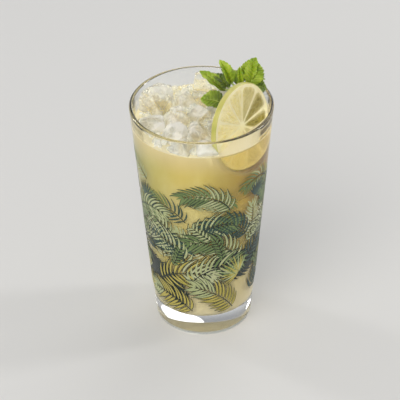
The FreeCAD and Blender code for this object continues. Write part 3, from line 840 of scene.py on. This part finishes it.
def leaf_mesh(foot, tip, half_width, bow, face, fold, painted_light, tip_painted_light):
    """One blade: a grid bent to the leaf, toothed at its edge and quilted between its veins."""
    foot, tip = MINT_CROWN + Vector(foot) * MM, MINT_CROWN + Vector(tip) * MM
    axis = (tip - foot).normalized()
    up = Vector(face)
    up = (up - axis * up.dot(axis)).normalized()
    side = axis.cross(up)
    middle = (foot + tip) / 2 + up * bow * MM
    bm = bmesh.new()
    bmesh.ops.create_grid(bm, x_segments=LEAF_LONG, y_segments=LEAF_WIDE, size=0.5)
    vein = bm.verts.layers.float.new("vein")
    light = bm.verts.layers.float.new("painted_light")
    for vert in bm.verts:
        share, across = vert.co.x + 0.5, vert.co.y * 2
        point = foot * (1 - share) ** 2 + middle * 2 * share * (1 - share) + tip * share**2
        along = ((middle - foot) * (1 - share) + (tip - middle) * share).normalized()
        normal = side.cross(along)
        tooth = 1 + TOOTH_DEPTH * abs(across) ** 3 * (((share * LEAF_TEETH) % 1.0) - 0.5)
        half = leaf_width(share) * half_width * MM * tooth
        phase = (share * SIDE_VEINS - abs(across) * 1.15) % 1.0
        crest = math.sin(math.pi * phase)
        quilt = crest**0.7 * min(1.0, abs(across) * 3) * (1 - abs(across) ** 5)
        curl = math.sin(share * 19 + painted_light * 7 + (2 if across > 0 else 0)) * abs(across) ** 3 * 0.8
        bend = math.radians(fold) * (1 + 0.25 * math.sin(share * 4))
        out = side * across * half * math.cos(bend)
        relief = (quilt * QUILT_RISE + curl * EDGE_CURL) * MM * leaf_width(share)
        rise = normal * (abs(across) * half * math.sin(bend) + relief)
        vert[vein] = max(0.0, 1 - phase * 7, 1 - (1 - phase) * 7, 1 - abs(across) * 11)
        # Painted light along the leaf from its foot to its tip, with painted shade near the foot where the
        # leaves crowd at the crown.
        vert[light] = (painted_light + (tip_painted_light - painted_light) * share) * fitted(share, 0.0, 0.35, 0.55, 1.0)
        vert.co = point + out + rise
    bmesh.ops.remove_doubles(bm, verts=bm.verts, dist=0.02 * MM)
    return bm


def stalk_mesh(route, radii, sides=12):
    """A round stalk along a route: a ring drawn out from point to point and closed at its ends."""
    bm = bmesh.new()
    ring = bmesh.ops.create_circle(bm, cap_ends=True, radius=1.0, segments=sides)["verts"]
    flat = [vert.co.copy() for vert in ring]
    edges = bm.edges[:]
    for number, (spot, radius) in enumerate(zip(route, radii)):
        ahead = route[min(number + 1, len(route) - 1)] - route[max(number - 1, 0)]
        turn = ahead.to_track_quat("Z", "Y").to_matrix()
        if number:
            made = bmesh.ops.extrude_edge_only(bm, edges=edges)["geom"]
            ring = [item for item in made if isinstance(item, bmesh.types.BMVert)]
            edges = [item for item in made if isinstance(item, bmesh.types.BMEdge) and item.is_boundary]
        for vert, place in zip(ring, flat):
            vert.co = spot + turn @ (place * radius)
    bmesh.ops.edgeloop_fill(bm, edges=edges)
    bmesh.ops.recalc_face_normals(bm, faces=bm.faces)
    return bm


def bowed(start, middle, end, steps):
    """Points along a bowed line."""
    shares = [i / steps for i in range(steps + 1)]
    return [start * (1 - s) ** 2 + middle * 2 * s * (1 - s) + end * s**2 for s in shares]


def make_mint():
    """The leaves, and a bowed stem that goes down into the drink with a short stalk to each leaf."""
    blades = joined([leaf_mesh(*leaf) for leaf in MINT_LEAVES])
    leaves = new_piece("mint_leaves", blades, mint_leaf(), ["mint_sprig"])
    thick = leaves.modifiers.new("thickness", "SOLIDIFY")
    thick.thickness, thick.offset = LEAF_THICKNESS, -1.0
    shade_smooth(leaves)
    foot = MINT_CROWN + Vector((-3.0, -3.0, -31.5)) * MM
    top = MINT_CROWN + Vector((1.2, 0.4, 3.4)) * MM
    bow = MINT_CROWN + Vector((-3.2, -0.6, -12)) * MM
    stem_radii = [1.25 * MM] * 12 + [1.15 * MM, 1.0 * MM, 0.7 * MM]
    stalk_radii = [0.62 * MM] * 5 + [0.5 * MM, 0.3 * MM]
    stalks = [stalk_mesh(bowed(foot, bow, top, 14), stem_radii)]
    for leaf_foot, tip, *rest in MINT_LEAVES:
        end = MINT_CROWN + (Vector(leaf_foot) * 0.94 + Vector(tip) * 0.06) * MM
        rise = max(-2.0, min(2.5, leaf_foot[2] / 2))
        root = MINT_CROWN + Vector((0.3 * rise, 0.1 * rise, rise)) * MM
        bend = (root + end) / 2 + Vector((0, 0, 0.6)) * MM
        stalks.append(stalk_mesh(bowed(root, bend, end, 6), stalk_radii, 8))
    stems = new_piece("mint_stalks", joined(stalks), mint_stem())
    shade_smooth(stems)


# --- Print on the glass -----------------------------------------------------------------------------

# How far the lowest ink stands off the glass and how much higher each depth lies. In mm, the radius that the
# print is unrolled at, and the lowest start of a frond.
PRINT_LIFT = 0.07 * MM
PRINT_STEP = 0.02 * MM
PRINT_RADIUS = 36.0
PRINT_FOOT = 30.0


class Ink:
    """Flat shapes of one ink, drawn on the unrolled outside of the glass: mm round, mm up, and depth."""

    def __init__(self):
        self.bm = bmesh.new()

    def blade(self, start, turn, length, width, bend, depth, steps=7):
        """A pointed leaflet from a start point, along a turn, bending as it goes."""
        made = bmesh.ops.create_grid(self.bm, x_segments=steps, y_segments=2, size=0.5)
        for vert in made["verts"]:
            share, across = vert.co.x + 0.5, vert.co.y * 2
            angle = turn + bend * share
            swing = turn + bend * share * 0.5
            ended = share < 0.001 or share > 0.999
            half = 0.0 if ended else width / 2 * math.sin(math.pi * share**0.62) ** 0.8
            x = start[0] + length * share * math.cos(swing) - across * half * math.sin(angle)
            y = start[1] + length * share * math.sin(swing) + across * half * math.cos(angle)
            vert.co = (x, y, depth)

    def stroke(self, points, width, depth):
        """A thin line through points, tapering to its end."""
        steps = len(points) - 1
        made = bmesh.ops.create_grid(self.bm, x_segments=steps, y_segments=1, size=0.5)
        for vert in made["verts"]:
            share, across = vert.co.x + 0.5, vert.co.y * 2
            number = min(steps - 1, int(share * steps + 1e-6))
            a, b = points[number], points[number + 1]
            part = share * steps - number
            slope = math.atan2(b[1] - a[1], b[0] - a[0])
            half = width / 2 * (1 - 0.7 * share)
            x = a[0] + (b[0] - a[0]) * part - across * half * math.sin(slope)
            y = a[1] + (b[1] - a[1]) * part + across * half * math.cos(slope)
            vert.co = (x, y, depth)

    def finished(self, name, material):
        """Rolls the shapes on to the glass and makes the piece."""
        bmesh.ops.remove_doubles(self.bm, verts=self.bm.verts, dist=1e-4)
        for vert in self.bm.verts:
            turn, height = vert.co.x / PRINT_RADIUS, vert.co.y * MM
            radius = outside_radius(height) + PRINT_LIFT + vert.co.z * PRINT_STEP
            vert.co = (radius * math.sin(turn), -radius * math.cos(turn), height)
        return new_piece(name, self.bm, material)


def arch(start, turn, length, bend, steps=18):
    """Points of a frond's midrib, which arches as it goes."""
    points, spot = [start], Vector((start[0], start[1]))
    for number in range(steps):
        angle = turn + bend * (number / steps)
        spot = spot + Vector((math.cos(angle), math.sin(angle))) * (length / steps)
        points.append((spot.x, spot.y))
    return points


def along_rib(rib, share):
    """The point and the slope at a share of a midrib."""
    spot = share * (len(rib) - 1)
    low = min(len(rib) - 2, int(spot))
    a, b = rib[low], rib[low + 1]
    place = (a[0] + (b[0] - a[0]) * (spot - low), a[1] + (b[1] - a[1]) * (spot - low))
    return place, math.atan2(b[1] - a[1], b[0] - a[0])


def frond(inks, chance, colours, start, turn, length, bend, pairs, reach, width, backing, depth):
    """A palm frond: slim leaflets in pairs along an arching midrib, each over a darker one that is wider by
    backing. colours are the backing, the fill near the stem and the fill near the tip."""
    under, near_stem, near_tip = colours
    rib = arch(start, turn, length, bend)
    for number in range(pairs):
        share = (number + 0.6) / pairs
        place, slope = along_rib(rib, share)
        size = reach * (0.40 + 0.72 * math.sin(math.pi * (0.14 + 0.74 * share))) * chance.uniform(0.9, 1.1)
        fill = near_stem if share + chance.uniform(-0.18, 0.18) < 0.52 else near_tip
        for side in (1, -1):
            open_by = side * (1.32 - 0.62 * share + chance.uniform(-0.06, 0.06))
            droop = -0.55 * side * chance.uniform(0.6, 1.2) + bend * 0.3
            wide = width * chance.uniform(0.88, 1.12)
            if under:
                inks[under].blade(place, slope + open_by, size * 1.05, wide * backing, droop, depth)
            inks[fill].blade(place, slope + open_by, size * 0.97, wide, droop, depth + 1)
    place, slope = along_rib(rib, 0.97)
    inks[near_tip].blade(place, slope, reach * 0.5, width, bend * 0.2, depth + 1)
    inks["line"].stroke(rib, 0.75, depth + 1.5)


def fan(inks, chance, colours, start, turn, spread, blades, reach, width, depth):
    """A fan palm's leaf: blades that spread from one point, each over a darker and wider one."""
    under, often, seldom = colours
    for number in range(blades):
        share = number / (blades - 1) - 0.5
        size = reach * (1 - 0.5 * abs(share)) * chance.uniform(0.92, 1.08)
        bend = -0.6 * share * chance.uniform(0.6, 1.3)
        fill = often if number % 3 else seldom
        inks[under].blade(start, turn + spread * share, size * 1.06, width * 1.35, bend, depth)
        inks[fill].blade(start, turn + spread * share, size * 0.97, width * 0.8, bend, depth + 1)


def sprig(inks, chance, colour, start, turn, length, bend, pairs, reach, depth):
    """A thin stem with small plain leaves in pairs, each with a dark edge."""
    rib = arch(start, turn, length, bend, 10)
    for number in range(pairs):
        place, slope = along_rib(rib, (number + 0.5) / pairs)
        for side in (1, -1):
            size = reach * chance.uniform(0.8, 1.1)
            inks["line"].blade(place, slope + side * 0.8, size * 1.1, reach * 0.42, 0.3 * side, depth, 5)
            inks[colour].blade(place, slope + side * 0.8, size, reach * 0.26, 0.3 * side, depth + 1, 5)
    inks["line"].stroke(rib, 0.4, depth + 1.5)


# Each ink: name, its colour and the paler one that it varies to.
INKS = (
    ("wash", (0.44, 0.46, 0.25), (0.52, 0.53, 0.30)),
    ("shade", (0.006, 0.016, 0.012), (0.014, 0.028, 0.020)),
    ("line", (0.010, 0.020, 0.012), (0.024, 0.038, 0.022)),
    ("teal", (0.012, 0.045, 0.034), (0.028, 0.075, 0.052)),
    ("green", (0.110, 0.175, 0.048), (0.190, 0.255, 0.085)),
    ("sage", (0.370, 0.410, 0.180), (0.480, 0.510, 0.260)),
    ("olive", (0.400, 0.340, 0.055), (0.540, 0.450, 0.105)),
)
# Slim fronds under the rows: colours, how many, lowest and highest start in mm, the most that one turns and
# bends, length, the leaflets' reach and width, and depth.
UNDER_FRONDS = (
    (("", "wash", "sage"), 9, 46, 74, 1.5, 0.6, 24, 10, 1.2, 0),
    (("", "shade", "shade"), 13, 24, 58, 1.8, 0.7, 27, 12, 1.9, 1),
)
# Each row of fronds, from the top: height, how many go round, length, the leaflets' reach and width, and the
# colours of backing, foot and tip that take turns.
FROND_ROWS = (
    (115.0, 6, 27.0, 10.0, 1.05, (
        ("", "sage", "green"), ("", "wash", "green"))),
    (103.0, 9, 32.0, 11.0, 1.15, (
        ("", "teal", "teal"), ("line", "sage", "green"), ("", "teal", "green"))),
    (85.0, 10, 34.0, 12.0, 1.25, (
        ("line", "sage", "sage"), ("shade", "teal", "teal"), ("line", "sage", "green"))),
    (65.0, 9, 38.0, 13.0, 1.35, (
        ("shade", "sage", "green"), ("line", "sage", "wash"), ("shade", "teal", "teal"))),
    (46.0, 9, 40.0, 14.0, 1.45, (
        ("shade", "olive", "sage"), ("shade", "sage", "green"), ("shade", "olive", "wash"))),
    (31.0, 7, 34.0, 12.5, 1.45, (
        ("shade", "olive", "green"), ("shade", "teal", "green"), ("shade", "olive", "sage"))),
)


def scattered(chance, count, stray, low, high, most_turn):
    """Starts and turns of shapes that go round the glass, each a little astray from an even place."""
    girth = math.tau * PRINT_RADIUS
    for place in range(count):
        x, y = girth * (place + chance.uniform(-stray, stray)) / count, chance.uniform(low, high)
        yield place, (x, y), math.pi / 2 + chance.uniform(-most_turn, most_turn)


def print_row(inks, chance, row, height, count, length, reach, width, colour_sets):
    """One row of fronds that lean left and right by turns, with a fan in every sixth place."""
    depth = 2 + 2.2 * row
    flatter = 0.55 if row == len(FROND_ROWS) - 1 else 1.0
    for place in range(count):
        x = math.tau * PRINT_RADIUS * (place + 0.5 * (row % 2)) / count + chance.uniform(-4, 4)
        y = max(PRINT_FOOT, height + chance.uniform(-6, 6))
        colours = colour_sets[(place * 2 + row) % len(colour_sets)]
        lean = 1 if (place + row) % 2 else -1
        if (place + 2 * row) % 6 == 3:
            turn = math.pi / 2 + lean * chance.uniform(0.2, 0.9)
            fan_colours = (colours[0] or "line", *colours[1:])
            fan(inks, chance, fan_colours, (x, y - 6), turn, 3.0, 15, reach * 1.25, width, depth)
            continue
        turn = math.pi / 2 + lean * chance.uniform(0.30, 0.85)
        bend = lean * chance.uniform(1.0, 1.9) * flatter
        start = (x + lean * 6, y - 10)
        frond(inks, chance, colours, start, turn, length, bend, 13, reach, width, 1.5, depth)


def make_print():
    """Palm fronds, fan leaves and sprigs in staggered rows all round the glass."""
    chance = random.Random(33)
    inks = {name: Ink() for name, colour, pale in INKS}
    for colours, count, low, high, most_turn, most_bend, length, reach, width, depth in UNDER_FRONDS:
        for _, start, turn in scattered(chance, count, 0.3, low, high, most_turn):
            bend = chance.uniform(-most_bend, most_bend)
            frond(inks, chance, colours, start, turn, length, bend, 12, reach, width, 1.0, depth)
    for row, values in enumerate(FROND_ROWS):
        print_row(inks, chance, row, *values)
    for place, start, turn in scattered(chance, 14, 0.35, 36, 84, 1.2):
        colour = ("sage", "green")[place % 2]
        sprig(inks, chance, colour, start, turn, 15, chance.uniform(-0.9, 0.9), 6, 4.6, 15)
    for name, colour, pale in INKS:
        inks[name].finished("print_" + name, ink_finish("ink_" + name, colour, pale))


# --- Stage ------------------------------------------------------------------------------------------


# Each lamp: name, place in metres, width, height (none for a round one), power in watts, and colour.
LAMPS = (
    ("key", (-0.42, -0.82, 0.96), 1.15, None, 9.4, (1.0, 0.98, 0.95)),
    ("strip_right", (1.15, 0.20, 0.50), 0.18, 0.85, 4.8, (1, 1, 1)),
    ("strip_left", (-1.02, 0.62, 0.50), 0.15, 0.75, 3.2, (1, 1, 1)),
    ("back", (0.44, 0.80, 0.76), 0.95, None, 2.8, (1.0, 0.99, 0.96)),
)


def make_floor():
    """A plain pale floor."""
    bm = bmesh.new()
    bmesh.ops.create_grid(bm, x_segments=1, y_segments=1, size=3.0)
    floor = add_object("floor", bm)
    finish = Finish("pale_floor")
    finish.set(Base_Color=(0.70, 0.69, 0.67), Roughness=0.7, Specular_IOR_Level=0.2)
    floor.data.materials.append(finish.material)


def make_lamp(name, place, width, height, power, colour):
    """A soft lamp that faces the middle of the glass."""
    lamp = bpy.data.lights.new(name, "AREA")
    lamp.energy, lamp.color, lamp.size, lamp.shape = power, colour, width, "DISK"
    if height:
        lamp.shape, lamp.size_y = "ELLIPSE", height
    holder = bpy.data.objects.new(name, lamp)
    bpy.context.scene.collection.objects.link(holder)
    holder.location = place
    holder.rotation_mode = "QUATERNION"
    aim = Vector((0, 0, 0.09))
    holder.rotation_quaternion = (aim - Vector(place)).to_track_quat("-Z", "Y")


def make_light():
    """A room that is pale near the floor and darker overhead, a soft key lamp from the front left, a weaker
    one from behind, and tall strips at both sides for the glass's edges."""
    for lamp in LAMPS:
        make_lamp(*lamp)
    world = bpy.data.worlds.new("room")
    bpy.context.scene.world = world
    world.use_nodes = True
    tree = world.node_tree
    direction = tree.nodes.new("ShaderNodeTexCoord")
    parts = tree.nodes.new("ShaderNodeSeparateXYZ")
    shade = tree.nodes.new("ShaderNodeValToRGB")
    tree.links.new(direction.outputs["Generated"], parts.inputs["Vector"])
    tree.links.new(parts.outputs["Z"], shade.inputs["Fac"])
    tree.links.new(shade.outputs["Color"], tree.nodes["Background"].inputs["Color"])
    ends = shade.color_ramp.elements
    ends[0].position, ends[0].color = 0.20, (0.74, 0.75, 0.76, 1.0)
    ends[1].position, ends[1].color = 0.62, (0.30, 0.31, 0.33, 1.0)
    tree.nodes["Background"].inputs["Strength"].default_value = 1.0


def make_camera():
    """The camera looks down on the drink from the front."""
    elevation, roll = math.radians(35.09), math.radians(0.74)
    target = Vector((-1.53, 0.0, 79.97)) * MM
    distance = 1401.9 * MM
    ahead = Vector((0, math.cos(elevation), -math.sin(elevation)))
    right = Vector((1, 0, 0))
    up = right.cross(ahead)
    rolled_right = right * math.cos(roll) - up * math.sin(roll)
    rolled_up = right * math.sin(roll) + up * math.cos(roll)
    data = bpy.data.cameras.new("camera")
    data.sensor_width, data.lens = 36.0, 212.5
    data.clip_start, data.clip_end = 0.05, 20.0
    camera = bpy.data.objects.new("camera", data)
    bpy.context.scene.collection.objects.link(camera)
    axes = Matrix((rolled_right, rolled_up, -ahead)).transposed()
    camera.matrix_world = Matrix.Translation(target - ahead * distance) @ axes.to_4x4()
    bpy.context.scene.camera = camera


def main():
    """Makes the drink and the plain stage that it stands on."""
    make_camera()
    make_glass()
    make_drink()
    make_ice()
    make_rubble()
    make_lime()
    make_mint()
    make_print()
    make_floor()
    make_light()
    bpy.context.scene.view_settings.view_transform = "Standard"


main()
